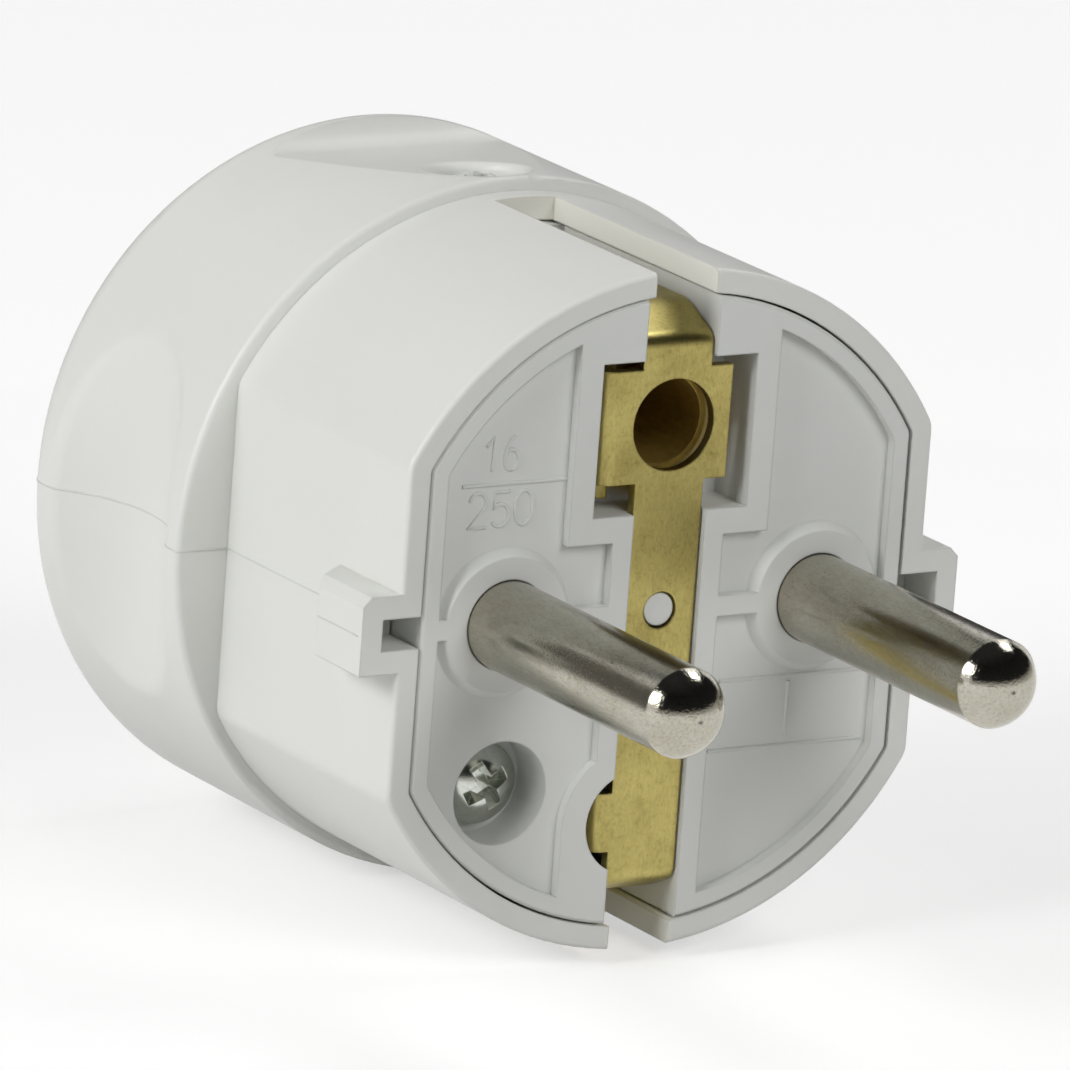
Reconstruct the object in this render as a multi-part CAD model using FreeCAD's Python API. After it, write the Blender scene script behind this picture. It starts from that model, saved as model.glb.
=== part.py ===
import FreeCAD, Part
import math
import os

# Earthed mains plug for screw terminals. The pins point to -Y, the body runs back along +Y, Z is up,
# and the front rim lies in the plane Y = 0. All sizes are in millimetres.

# Line pins
PIN_SPACING = 19.0
PIN_DIAMETER = 4.8
PIN_REACH = 19.0
PIN_DOME = 1.6
PIN_HEAD_DIAMETER = 6.8
PIN_HEAD_LENGTH = 8.0
PIN_WIRE_HOLE = 2.8
PIN_WIRE_SETBACK = 3.0
PIN_WAIST_DIAMETER = 4.3
PIN_WAIST_DEPTH = 0.15

# Front section of the housing, a circle with a flat on each side
FRONT_RADIUS = 18.4
FRONT_HALF_WIDTH = 16.06
FRONT_CORNER = 1.4
FRONT_LENGTH = 17.75
FRONT_EDGE = 0.25
FRONT_WALL = 1.28
BORE_DEPTH = 17.0
BORE_CORNER = 0.5

# Grip behind the shoulder
GRIP_RADIUS = 19.15
GRIP_LENGTH = 16.45
GRIP_WALL = 3.5
GRIP_FRONT_EDGE = 0.35
GRIP_REAR_EDGE = 1.9
REAR_WALL = 2.2
SCOOP_RADIUS = 8.5
SCOOP_DEPTH = 2.6
SCOOP_SETBACK = 7.45
SCOOP_EDGE = 1.4
SCOOP_WALL = 3.0
TOP_FLAT_SLOPE = 6.3
TOP_FLAT_LENGTH = 12.5
TOP_FLAT_END_RADIUS = 1.6
CORD_ENTRY_DIAMETER = 9.2
CORD_ENTRY_CHAMFER = 0.6

# Guide tabs on the flats and the keyway notch in each
TAB_HALF_WIDTH = 18.28
TAB_HALF_HEIGHT = 2.11
TAB_LENGTH = 6.3
TAB_RAMP = 1.8
TAB_CHAMFER = 0.5
KEY_HALF_HEIGHT = 0.86
KEY_WALL = 1.23
KEY_DEPTH = 3.0

# Slots for the side earth contacts
SLOT_WIDTH = 3.7
SLOT_LENGTH = 16.4

# Contact carrier, the insert in the front bore
CARRIER_FIT = 0.12
CARRIER_WALL = 1.5
CARRIER_PLATE = 4.6
CARRIER_EDGE = 0.15
RIM_LAND = 1.0
PANEL_DEPTH = 0.6
PANEL_CORNER = 0.8
PIN_RING_DIAMETER = 7.3
PIN_RING_SLOPE = 0.4
PIN_BOSS_DIAMETER = 8.4
PIN_BOSS_DEPTH = 6.0
CROSS_RIB_WIDTH = 1.1
STRAP_RIB_WIDTH = 1.2
POCKET_RIB_WIDTH = 1.4
NOTCH_RIB_WIDTH = 1.5
PIN_FIT = 0.04
STUD_HEIGHT = 0.45

# Earth strap
STRAP_WIDTH = 4.16
STRAP_THICKNESS = 0.6
STRAP_RECESS = 0.3
STRAP_FIT = 0.12
CLIP_RISE = 1.26
BEND_RADIUS = 0.9
CREST_SINK = 2.4
CREST_START = 3.1
CREST_END = 7.0
CREST_RADIUS = 3.0
CLIP_LENGTH = 13.3
CLIP_TRAVEL = 1.1
GROOVE_DEPTH = 15.8
GROOVE_WALL = 0.9
STUD_HOLE_DIAMETER = 2.0

# Earth socket in the strap
EARTH_HEIGHT = 10.0
EARTH_HOLE_DIAMETER = 4.95
PLATE_HEIGHT = 6.1
PLATE_RIGHT = 3.42
ROLL_RADIUS = 1.1
ROLL_EDGE = 4.55
ROLL_OVERHANG = 1.1
POCKET_SIDE_GAP = 0.17
POCKET_BELOW = 1.63
POCKET_ABOVE = 0.55
POCKET_DEPTH = 3.2
SLEEVE_BORE = 4.84
SLEEVE_WALL = 0.35
SLEEVE_START = 1.6
SLEEVE_LENGTH = 9.0
SLEEVE_SLIT = 1.0
SLEEVE_FIT = 0.02
EARTH_PIN_DEPTH = 15.0
EARTH_TUBE_WALL = 1.2

# Ear of the strap, the earth wire's terminal
EAR_X = -1.0
EAR_INSET = 4.6
EAR_WIDTH = 3.2
EAR_HALF_SPAN = 2.2
EAR_DEPTH = 8.6
EAR_BEND = 0.8
NOTCH_DIAMETER = 5.5

# Screws
SCREW_FIT = 0.03
TERMINAL_THREAD = 3.0
TERMINAL_HEAD_DIAMETER = 5.2
TERMINAL_HEAD_HEIGHT = 1.6
TERMINAL_STAND_OFF = 0.5
EARTH_THREAD = 2.5
EARTH_HEAD_DIAMETER = 3.6
EARTH_HEAD_HEIGHT = 1.5
EARTH_SCREW_LENGTH = 5.0
WASHER_SIDE = 3.5
WASHER_THICKNESS = 0.8
CARRIER_SCREW_INSET = 4.16
CARRIER_SCREW_ANGLE = 226.4
CARRIER_THREAD = 2.9
CARRIER_HOLE_FIT = 0.15
CARRIER_SCREW_BITE = 8.0
WELL_DIAMETER = 5.6
WELL_DEPTH = 3.4
SCREW_BOSS_DIAMETER = 6.4
PAN_HEAD_DIAMETER = 4.4
PAN_HEAD_HEIGHT = 1.7
PAN_DOME_HEIGHT = 1.0
CROSS_WIDTH = 0.8
CROSS_SPAN = 3.2
CROSS_FOOT = 1.2
CROSS_DEPTH = 1.2
CROSS_TURN = 30.0
SLOT_CUT_WIDTH = 0.7
SLOT_CUT_DEPTH = 0.7

# Cord clamp in the grip
CLAMP_SETBACK = 3.65
CLAMP_THREAD = 3.0
CLAMP_RECESS_DIAMETER = 5.3
CLAMP_RIM = 0.4
CLAMP_HEAD_SINK = 0.2
CLAMP_RECESS_EXTRA = 0.4
CLAMP_BOSS_DIAMETER = 8.0
CLAMP_BOSS_HEIGHT = 13.4
SADDLE_HALF_WIDTH = 6.0
SADDLE_LENGTH = 5.0
SADDLE_BOTTOM = 3.2
SADDLE_TOP = 8.8
SADDLE_FIT = 0.2
SADDLE_HOLE_DEPTH = 1.6
CORD_CHANNEL_RADIUS = 4.8
RIB_SETBACK = 1.0
GUIDE_RIB = 1.2
CRADLE_RIB = 1.4
CRADLE_GAP = 5.2
CRADLE_TOP = -4.2

# Derived places, and how far a cut runs past the face it opens
V = FreeCAD.Vector
OVER = 1.0
TOLERANCE = 0.001
AXIS = V(0, 1, 0)
PIN_X = PIN_SPACING / 2
PIN_R = PIN_DIAMETER / 2
BODY_LENGTH = FRONT_LENGTH + GRIP_LENGTH
CAVITY_END = BODY_LENGTH - REAR_WALL
BORE_RADIUS = FRONT_RADIUS - FRONT_WALL
BORE_HALF_WIDTH = FRONT_HALF_WIDTH - FRONT_WALL
CARRIER_RADIUS = BORE_RADIUS - CARRIER_FIT
CARRIER_HALF_WIDTH = BORE_HALF_WIDTH - CARRIER_FIT
CARRIER_SCREW_REACH = CARRIER_RADIUS - CARRIER_SCREW_INSET
CARRIER_SCREW_X = CARRIER_SCREW_REACH * math.cos(math.radians(CARRIER_SCREW_ANGLE))
CARRIER_SCREW_Z = CARRIER_SCREW_REACH * math.sin(math.radians(CARRIER_SCREW_ANGLE))
CAVITY_RADIUS = GRIP_RADIUS - GRIP_WALL
CAVITY_HALF_WIDTH = GRIP_RADIUS - SCOOP_DEPTH - SCOOP_WALL
STRAP_HALF = STRAP_WIDTH / 2
CREST_HEIGHT = FRONT_RADIUS - CREST_SINK
BEND_HEIGHT = CREST_HEIGHT - CLIP_RISE
EAR_Z = EAR_INSET - CREST_HEIGHT
CHANNEL_HALF = STRAP_HALF + STRAP_FIT
STRAP_BACK = STRAP_RECESS + STRAP_THICKNESS
GROOVE_FLOOR = CREST_HEIGHT - STRAP_THICKNESS - CLIP_TRAVEL
SLEEVE_OUTER = SLEEVE_BORE / 2 + SLEEVE_WALL
PLATE_BOTTOM = EARTH_HEIGHT - PLATE_HEIGHT / 2
PLATE_TOP = EARTH_HEIGHT + PLATE_HEIGHT / 2
POCKET_HALF_WIDTH = ROLL_EDGE + POCKET_SIDE_GAP
POCKET_BOTTOM = PLATE_BOTTOM - POCKET_BELOW
POCKET_TOP = PLATE_TOP + POCKET_ABOVE
EAR_BOTTOM = EAR_Z - EAR_WIDTH / 2
CLAMP_Y = FRONT_LENGTH + CLAMP_SETBACK
CLAMP_FLAT_Z = GRIP_RADIUS - CLAMP_SETBACK * math.tan(math.radians(TOP_FLAT_SLOPE))
CLAMP_HEAD_TOP = CLAMP_FLAT_Z - CLAMP_HEAD_SINK
CLAMP_HEAD_SEAT = CLAMP_HEAD_TOP - PAN_HEAD_HEIGHT


def block(x0, x1, y0, y1, z0, z1):
    return Part.makeBox(x1 - x0, y1 - y0, z1 - z0, V(x0, y0, z0))


def rod(x, z, diameter, y0, y1):
    return Part.makeCylinder(diameter / 2, y1 - y0, V(x, y0, z), AXIS)


def fused(shapes):
    return shapes[0].multiFuse(shapes[1:]).removeSplitter() if len(shapes) > 1 else shapes[0]


def mirrored_x(shape):
    return shape.mirror(V(0, 0, 0), V(1, 0, 0))


def lobed(radius, half_width, corner, y0, y1):
    """A circle with a flat on each side, its four corners rounded, drawn out from y0 to y1."""
    cx = half_width - corner
    cz = math.sqrt((radius - corner) ** 2 - cx ** 2)
    reach = radius / (radius - corner)
    angle = math.atan2(cz, cx) / 2
    on_arc = V(cx * reach, y0, cz * reach)
    on_flat = V(half_width, y0, cz)
    middle = V(cx + corner * math.cos(angle), y0, cz + corner * math.sin(angle))

    def flip(p, sx, sz):
        return V(sx * p.x, p.y, sz * p.z)

    edges = []
    for sx in (1, -1):
        edges.append(Part.makeLine(flip(on_flat, sx, -1), flip(on_flat, sx, 1)))
        for sz in (1, -1):
            edges.append(Part.Arc(flip(on_flat, sx, sz), flip(middle, sx, sz), flip(on_arc, sx, sz)).toShape())
    for sz in (1, -1):
        edges.append(Part.Arc(flip(on_arc, 1, sz), V(0, y0, sz * radius), flip(on_arc, -1, sz)).toShape())
    outline = Part.Wire(Part.__sortEdges__(edges))
    return Part.Face(outline).extrude(V(0, y1 - y0, 0))


def turned(edges):
    """A solid of revolution about the Y axis from edges drawn in the plane Z = 0."""
    return Part.Face(Part.Wire(edges)).revolve(V(0, 0, 0), AXIS, 360)


def rounded_path(points, radii, place):
    """Straight runs joined by arcs of the given radii, as edges placed in space by the function place."""
    edges = []
    start = points[0]
    for corner, radius, before, after in zip(points[1:-1], radii, points[:-2], points[2:]):
        into = (corner - before).normalize()
        out = (after - corner).normalize()
        turn = into.getAngle(out)
        setback = radius * math.tan(turn / 2)
        first = corner - into * setback
        last = corner + out * setback
        inward = (out - into).normalize()
        apex = corner + inward * (radius / math.cos(turn / 2) - radius)
        edges.append(Part.makeLine(place(start), place(first)))
        edges.append(Part.Arc(place(first), place(apex), place(last)).toShape())
        start = last
    edges.append(Part.makeLine(place(start), place(points[-1])))
    return edges


def sheet_face(points, radii, thickness, place):
    """The edge-on face of a bent sheet: the points give its outer side, and the inner side is to their left."""
    normals = []
    for a, b in zip(points[:-1], points[1:]):
        along = (b - a).normalize()
        normals.append(V(-along.y, along.x, 0))
    inner = [points[0] + normals[0] * thickness]
    for corner, n0, n1 in zip(points[1:-1], normals[:-1], normals[1:]):
        inner.append(corner + (n0 + n1) * (thickness / (1 + n0.dot(n1))))
    inner.append(points[-1] + normals[-1] * thickness)
    outside = rounded_path(points, radii, place)
    inside = rounded_path(inner, [r - thickness for r in radii], place)
    ends = [Part.makeLine(place(points[0]), place(inner[0])), Part.makeLine(place(points[-1]), place(inner[-1]))]
    return Part.Face(Part.Wire(Part.__sortEdges__(outside + inside + ends)))


def cheese_screw(thread, head_diameter, head_height, length):
    """A slotted screw along Y, its head behind the plane Y = 0 and its thread in front of it."""
    slot_half = SLOT_CUT_WIDTH / 2
    screw = rod(0, 0, thread, -length, 0).fuse(rod(0, 0, head_diameter, 0, head_height))
    slot = block(-head_diameter, head_diameter, head_height - SLOT_CUT_DEPTH, head_height + OVER,
                 -slot_half, slot_half)
    return screw.cut(slot).removeSplitter()


def pan_screw(thread, length):
    """A cross-recess screw along Y, its domed head behind the plane Y = 0 and its thread in front of it."""
    r = PAN_HEAD_DIAMETER / 2
    side = PAN_HEAD_HEIGHT - PAN_DOME_HEIGHT
    dome = PAN_DOME_HEIGHT
    sphere = (r * r + dome * dome) / (2 * dome)
    half = math.asin(r / sphere) / 2
    crown = V(sphere * math.sin(half), PAN_HEAD_HEIGHT - sphere + sphere * math.cos(half), 0)
    head = turned([
        Part.makeLine(V(0, 0, 0), V(r, 0, 0)),
        Part.makeLine(V(r, 0, 0), V(r, side, 0)),
        Part.Arc(V(r, side, 0), crown, V(0, PAN_HEAD_HEIGHT, 0)).toShape(),
        Part.makeLine(V(0, PAN_HEAD_HEIGHT, 0), V(0, 0, 0)),
    ])
    top = CROSS_SPAN / 2
    foot = CROSS_FOOT / 2
    floor = PAN_HEAD_HEIGHT - CROSS_DEPTH
    lip = PAN_HEAD_HEIGHT
    wing = Part.Face(Part.makePolygon([
        V(-top, lip, -CROSS_WIDTH / 2), V(top, lip, -CROSS_WIDTH / 2),
        V(foot, floor, -CROSS_WIDTH / 2), V(-foot, floor, -CROSS_WIDTH / 2), V(-top, lip, -CROSS_WIDTH / 2),
    ])).extrude(V(0, 0, CROSS_WIDTH))
    other = wing.copy()
    other.rotate(V(0, 0, 0), AXIS, 90)
    cross = wing.fuse(other)
    cross.rotate(V(0, 0, 0), AXIS, CROSS_TURN)
    return rod(0, 0, thread, -length, 0).fuse(head.cut(cross)).removeSplitter()


def moved(shape, x, y, z):
    result = shape.copy()
    result.translate(V(x, y, z))
    return result


def make_housing():
    front = lobed(FRONT_RADIUS, FRONT_HALF_WIDTH, FRONT_CORNER, 0, FRONT_LENGTH)
    rim_edges = [e for e in front.Edges if e.BoundBox.YMax < TOLERANCE]
    front = front.makeFillet(FRONT_EDGE, rim_edges)

    # The grip is turned, then hollowed by a scoop on each flank
    f, e = GRIP_FRONT_EDGE, GRIP_REAR_EDGE
    bevel = 1 - math.sqrt(0.5)
    grip = turned([
        Part.makeLine(V(0, FRONT_LENGTH, 0), V(GRIP_RADIUS - f, FRONT_LENGTH, 0)),
        Part.Arc(V(GRIP_RADIUS - f, FRONT_LENGTH, 0), V(GRIP_RADIUS - f * bevel, FRONT_LENGTH + f * bevel, 0),
                 V(GRIP_RADIUS, FRONT_LENGTH + f, 0)).toShape(),
        Part.makeLine(V(GRIP_RADIUS, FRONT_LENGTH + f, 0), V(GRIP_RADIUS, BODY_LENGTH - e, 0)),
        Part.Arc(V(GRIP_RADIUS, BODY_LENGTH - e, 0), V(GRIP_RADIUS - e * bevel, BODY_LENGTH - e * bevel, 0),
                 V(GRIP_RADIUS - e, BODY_LENGTH, 0)).toShape(),
        Part.makeLine(V(GRIP_RADIUS - e, BODY_LENGTH, 0), V(0, BODY_LENGTH, 0)),
        Part.makeLine(V(0, BODY_LENGTH, 0), V(0, FRONT_LENGTH, 0)),
    ])
    scoop_x = GRIP_RADIUS - SCOOP_DEPTH + SCOOP_RADIUS
    scoop = Part.makeCylinder(SCOOP_RADIUS, 2 * GRIP_RADIUS,
                              V(scoop_x, FRONT_LENGTH + SCOOP_SETBACK, -GRIP_RADIUS), V(0, 0, 1))
    grip = grip.cut(scoop).cut(mirrored_x(scoop))
    hollow_faces = [f for f in grip.Faces if abs(getattr(f.Surface, "Radius", 0) - SCOOP_RADIUS) < TOLERANCE]
    grip = grip.makeFillet(SCOOP_EDGE, [e for f in hollow_faces for e in f.Edges])

    # Sloped flat on top, with the clamp screw's recess and its rounded rim
    slope = math.radians(TOP_FLAT_SLOPE)
    flat_start = V(-GRIP_RADIUS, FRONT_LENGTH, GRIP_RADIUS)
    flat_end = flat_start + V(0, TOP_FLAT_LENGTH, -TOP_FLAT_LENGTH * math.tan(slope))
    end_centre = flat_end + V(0, math.sin(slope), math.cos(slope)) * TOP_FLAT_END_RADIUS
    halfway = slope + math.pi / 4
    end_middle = end_centre + V(0, math.cos(halfway), -math.sin(halfway)) * TOP_FLAT_END_RADIUS
    end_top = end_centre + V(0, TOP_FLAT_END_RADIUS, 0)
    above = V(0, 0, GRIP_RADIUS)
    flat = Part.Face(Part.Wire([
        Part.makeLine(flat_start, flat_end),
        Part.Arc(flat_end, end_middle, end_top).toShape(),
        Part.makeLine(end_top, end_top + above),
        Part.makeLine(end_top + above, flat_start + above),
        Part.makeLine(flat_start + above, flat_start),
    ])).extrude(V(2 * GRIP_RADIUS, 0, 0))
    recess_r = CLAMP_RECESS_DIAMETER / 2
    recess_floor = CLAMP_HEAD_SEAT - CLAMP_RECESS_EXTRA
    recess = Part.makeCylinder(recess_r, GRIP_RADIUS, V(0, CLAMP_Y, recess_floor), V(0, 0, 1))
    grip = grip.cut(flat).cut(recess)
    recess_walls = [f for f in grip.Faces if abs(getattr(f.Surface, "Radius", 0) - recess_r) < TOLERANCE]
    rim_level = CLAMP_HEAD_TOP - CLAMP_RIM
    recess_rim = [e for f in recess_walls for e in f.Edges if e.isClosed() and e.BoundBox.ZMin > rim_level]
    grip = grip.makeFillet(CLAMP_RIM, recess_rim)

    # Guide tab on the right flat, ramped down at its rear end
    root = FRONT_HALF_WIDTH - FRONT_WALL / 2
    h, c = TAB_HALF_HEIGHT, TAB_CHAMFER
    tab = Part.Face(Part.makePolygon([
        V(root, 0, -h), V(TAB_HALF_WIDTH, 0, -h), V(TAB_HALF_WIDTH, 0, h - c), V(TAB_HALF_WIDTH - c, 0, h),
        V(root, 0, h), V(root, 0, -h),
    ])).extrude(V(0, TAB_LENGTH, 0))
    ramp = Part.Face(Part.makePolygon([
        V(TAB_HALF_WIDTH, TAB_LENGTH - TAB_RAMP, -h), V(TAB_HALF_WIDTH, TAB_LENGTH, -h),
        V(FRONT_HALF_WIDTH, TAB_LENGTH, -h), V(TAB_HALF_WIDTH, TAB_LENGTH - TAB_RAMP, -h),
    ])).extrude(V(0, 0, 2 * h))
    tab = tab.cut(ramp)
    shell = fused([front, grip, tab, mirrored_x(tab)])

    # Front bore for the carrier, then the narrower wiring space with its bosses and ribs
    shell = shell.cut(lobed(BORE_RADIUS, BORE_HALF_WIDTH, BORE_CORNER, -OVER, BORE_DEPTH))
    shell = shell.cut(lobed(CAVITY_RADIUS, CAVITY_HALF_WIDTH, BORE_CORNER, BORE_DEPTH - OVER, CAVITY_END))
    embed = GRIP_WALL / 3
    inside = rod(0, 0, 2 * (CAVITY_RADIUS + embed), BORE_DEPTH, CAVITY_END + embed)
    post = rod(CARRIER_SCREW_X, CARRIER_SCREW_Z, SCREW_BOSS_DIAMETER, BORE_DEPTH, CAVITY_END + embed)
    clamp_boss = Part.makeCylinder(CLAMP_BOSS_DIAMETER / 2, CAVITY_RADIUS + embed - CLAMP_BOSS_HEIGHT,
                                   V(0, CLAMP_Y, CLAMP_BOSS_HEIGHT), V(0, 0, 1))
    guide_x = SADDLE_HALF_WIDTH + SADDLE_FIT
    guide = block(guide_x, guide_x + GUIDE_RIB, BORE_DEPTH + RIB_SETBACK, CAVITY_END + embed,
                  SADDLE_BOTTOM, GRIP_RADIUS)
    cradle = block(CRADLE_GAP / 2, CRADLE_GAP / 2 + CRADLE_RIB, BORE_DEPTH + RIB_SETBACK, CAVITY_END + embed,
                   -GRIP_RADIUS, CRADLE_TOP)
    ribs = [s.common(inside) for s in (post, clamp_boss, guide, mirrored_x(guide), cradle, mirrored_x(cradle))]
    shell = fused([shell] + ribs)

    # Slots, keyway notches, screw holes and the cord entry
    slot_half = SLOT_WIDTH / 2
    slot_floor = CREST_HEIGHT - STRAP_THICKNESS
    notch_x = TAB_HALF_WIDTH - KEY_WALL
    notch = block(BORE_HALF_WIDTH - OVER, notch_x, -OVER, KEY_DEPTH, -KEY_HALF_HEIGHT, KEY_HALF_HEIGHT)
    entry_r = CORD_ENTRY_DIAMETER / 2
    cuts = [
        block(-slot_half, slot_half, -OVER, SLOT_LENGTH, slot_floor, FRONT_RADIUS + OVER),
        block(-slot_half, slot_half, -OVER, SLOT_LENGTH, -FRONT_RADIUS - OVER, -slot_floor),
        notch,
        mirrored_x(notch),
        rod(CARRIER_SCREW_X, CARRIER_SCREW_Z, CARRIER_THREAD + 2 * SCREW_FIT, BORE_DEPTH - OVER,
            BORE_DEPTH + CARRIER_SCREW_BITE + OVER),
        recess,
        Part.makeCylinder(CLAMP_THREAD / 2 + SCREW_FIT, GRIP_RADIUS, V(0, CLAMP_Y, SADDLE_TOP), V(0, 0, 1)),
        rod(0, 0, CORD_ENTRY_DIAMETER, CAVITY_END - OVER, BODY_LENGTH + OVER),
        Part.makeCone(entry_r, entry_r + CORD_ENTRY_CHAMFER, CORD_ENTRY_CHAMFER,
                      V(0, BODY_LENGTH - CORD_ENTRY_CHAMFER, 0), AXIS),
    ]
    for cut in cuts:
        shell = shell.cut(cut)
    return shell.removeSplitter()


def make_panels():
    """The shallow recess in the carrier's face, less the rings and ribs that stay level with the rim."""
    recess = lobed(CARRIER_RADIUS - RIM_LAND, CARRIER_HALF_WIDTH - RIM_LAND, PANEL_CORNER, -OVER, PANEL_DEPTH)
    top = PANEL_DEPTH + OVER
    strap_side = CHANNEL_HALF + STRAP_RIB_WIDTH
    pocket_side = POCKET_HALF_WIDTH + POCKET_RIB_WIDTH
    notch_side = NOTCH_DIAMETER / 2 + NOTCH_RIB_WIDTH
    ring_r = PIN_RING_DIAMETER / 2
    slope = Part.makeCone(ring_r, ring_r + PIN_RING_SLOPE, PANEL_DEPTH, V(PIN_X, 0, 0), AXIS)
    ring = rod(PIN_X, 0, PIN_RING_DIAMETER, -OVER, PANEL_DEPTH).fuse(slope)
    ribs = [
        block(-strap_side, strap_side, -OVER, top, -CARRIER_RADIUS, CARRIER_RADIUS),
        block(-pocket_side, pocket_side, -OVER, top, POCKET_BOTTOM - POCKET_RIB_WIDTH, CARRIER_RADIUS),
        block(-CARRIER_RADIUS, CARRIER_RADIUS, -OVER, top, -CROSS_RIB_WIDTH / 2, CROSS_RIB_WIDTH / 2),
        ring,
        mirrored_x(ring),
        rod(EAR_X, EAR_Z, 2 * notch_side, -OVER, top),
        block(EAR_X - notch_side, EAR_X, -OVER, top, -CARRIER_RADIUS, EAR_Z),
    ]
    return recess.cut(fused(ribs))


def make_carrier():
    outer = lobed(CARRIER_RADIUS, CARRIER_HALF_WIDTH, BORE_CORNER, 0, BORE_DEPTH)
    rim_edges = [e for e in outer.Edges if e.BoundBox.YMax < TOLERANCE]
    outer = outer.makeChamfer(CARRIER_EDGE, rim_edges)
    hollow = lobed(CARRIER_RADIUS - CARRIER_WALL, CARRIER_HALF_WIDTH - CARRIER_WALL, BORE_CORNER,
                   CARRIER_PLATE, BORE_DEPTH + OVER)
    tube_end = STRAP_RECESS + EARTH_PIN_DEPTH + EARTH_TUBE_WALL
    tube_diameter = 2 * (SLEEVE_OUTER + SLEEVE_FIT + EARTH_TUBE_WALL)
    wall_x = CHANNEL_HALF + GROOVE_WALL
    inner_z = GROOVE_FLOOR - GROOVE_WALL
    channel = block(-wall_x, wall_x, 0, BORE_DEPTH, inner_z, CARRIER_RADIUS).common(outer)
    body = fused([
        outer.cut(hollow),
        rod(PIN_X, 0, PIN_BOSS_DIAMETER, 1, PIN_BOSS_DEPTH).common(outer),
        rod(-PIN_X, 0, PIN_BOSS_DIAMETER, 1, PIN_BOSS_DEPTH).common(outer),
        rod(0, EARTH_HEIGHT, tube_diameter, 1, tube_end).common(outer),
        rod(CARRIER_SCREW_X, CARRIER_SCREW_Z, SCREW_BOSS_DIAMETER, 1, BORE_DEPTH).common(outer),
        channel,
        channel.mirror(V(0, 0, 0), V(0, 0, 1)),
    ])
    pin_hole = PIN_DIAMETER + 2 * PIN_FIT
    waist_hole = PIN_WAIST_DIAMETER + 2 * PIN_FIT
    pin_sink = PIN_WAIST_DEPTH + PIN_FIT
    lead = BEND_RADIUS / 2
    groove_lead = Part.Face(Part.makePolygon([
        V(-CHANNEL_HALF, STRAP_BACK, GROOVE_FLOOR), V(-CHANNEL_HALF, STRAP_BACK + lead, GROOVE_FLOOR),
        V(-CHANNEL_HALF, STRAP_BACK, GROOVE_FLOOR - lead), V(-CHANNEL_HALF, STRAP_BACK, GROOVE_FLOOR),
    ])).extrude(V(2 * CHANNEL_HALF, 0, 0))
    cuts = [
        make_panels(),
        block(-CHANNEL_HALF, CHANNEL_HALF, -OVER, STRAP_BACK, -CARRIER_RADIUS, CARRIER_RADIUS),
        block(-CHANNEL_HALF, CHANNEL_HALF, -OVER, GROOVE_DEPTH, GROOVE_FLOOR, CARRIER_RADIUS + OVER),
        block(-CHANNEL_HALF, CHANNEL_HALF, -OVER, GROOVE_DEPTH, -CARRIER_RADIUS - OVER, -GROOVE_FLOOR),
        groove_lead,
        groove_lead.mirror(V(0, 0, 0), V(0, 0, 1)),
        block(-POCKET_HALF_WIDTH, POCKET_HALF_WIDTH, -OVER, POCKET_DEPTH, POCKET_BOTTOM, POCKET_TOP),
        rod(0, EARTH_HEIGHT, 2 * (SLEEVE_OUTER + SLEEVE_FIT), 0, STRAP_RECESS + EARTH_PIN_DEPTH),
        rod(PIN_X, 0, pin_hole, -OVER, pin_sink),
        rod(-PIN_X, 0, pin_hole, -OVER, pin_sink),
        rod(PIN_X, 0, waist_hole, 0, PIN_BOSS_DEPTH + OVER),
        rod(-PIN_X, 0, waist_hole, 0, PIN_BOSS_DEPTH + OVER),
        rod(EAR_X, EAR_Z, NOTCH_DIAMETER, -OVER, CARRIER_PLATE + OVER),
        rod(CARRIER_SCREW_X, CARRIER_SCREW_Z, WELL_DIAMETER, -OVER, WELL_DEPTH),
        rod(CARRIER_SCREW_X, CARRIER_SCREW_Z, CARRIER_THREAD + 2 * CARRIER_HOLE_FIT, 0, BORE_DEPTH + OVER),
    ]
    for cut in cuts:
        body = body.cut(cut)
    stud = rod(0, 0, STUD_HOLE_DIAMETER - 2 * STRAP_FIT, STRAP_BACK - STUD_HEIGHT, STRAP_BACK + OVER)
    return fused([body, stud])


def make_pin():
    """A turned pin on the Y axis: domed tip, shank, a waist in the carrier, a head drilled across and tapped."""
    tip = -PIN_REACH
    shoulder = PIN_DOME - PIN_REACH
    sphere = (PIN_R ** 2 + PIN_DOME ** 2) / (2 * PIN_DOME)
    half = math.asin(PIN_R / sphere) / 2
    crown = V(sphere * math.sin(half), tip + sphere - sphere * math.cos(half), 0)
    waist_r = PIN_WAIST_DIAMETER / 2
    head_r = PIN_HEAD_DIAMETER / 2
    head_end = PIN_BOSS_DEPTH + PIN_HEAD_LENGTH
    pin = turned([
        Part.Arc(V(0, tip, 0), crown, V(PIN_R, shoulder, 0)).toShape(),
        Part.makeLine(V(PIN_R, shoulder, 0), V(PIN_R, PIN_WAIST_DEPTH, 0)),
        Part.makeLine(V(PIN_R, PIN_WAIST_DEPTH, 0), V(waist_r, PIN_WAIST_DEPTH, 0)),
        Part.makeLine(V(waist_r, PIN_WAIST_DEPTH, 0), V(waist_r, PIN_BOSS_DEPTH, 0)),
        Part.makeLine(V(waist_r, PIN_BOSS_DEPTH, 0), V(head_r, PIN_BOSS_DEPTH, 0)),
        Part.makeLine(V(head_r, PIN_BOSS_DEPTH, 0), V(head_r, head_end, 0)),
        Part.makeLine(V(head_r, head_end, 0), V(0, head_end, 0)),
        Part.makeLine(V(0, head_end, 0), V(0, tip, 0)),
    ])
    wire_y = PIN_BOSS_DEPTH + PIN_WIRE_SETBACK
    wire_hole = Part.makeCylinder(PIN_WIRE_HOLE / 2, 4 * head_r, V(0, wire_y, -2 * head_r), V(0, 0, 1))
    tapped = rod(0, 0, TERMINAL_THREAD + 2 * SCREW_FIT, wire_y, head_end + OVER)
    return pin.cut(wire_hole).cut(tapped).removeSplitter()


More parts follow.
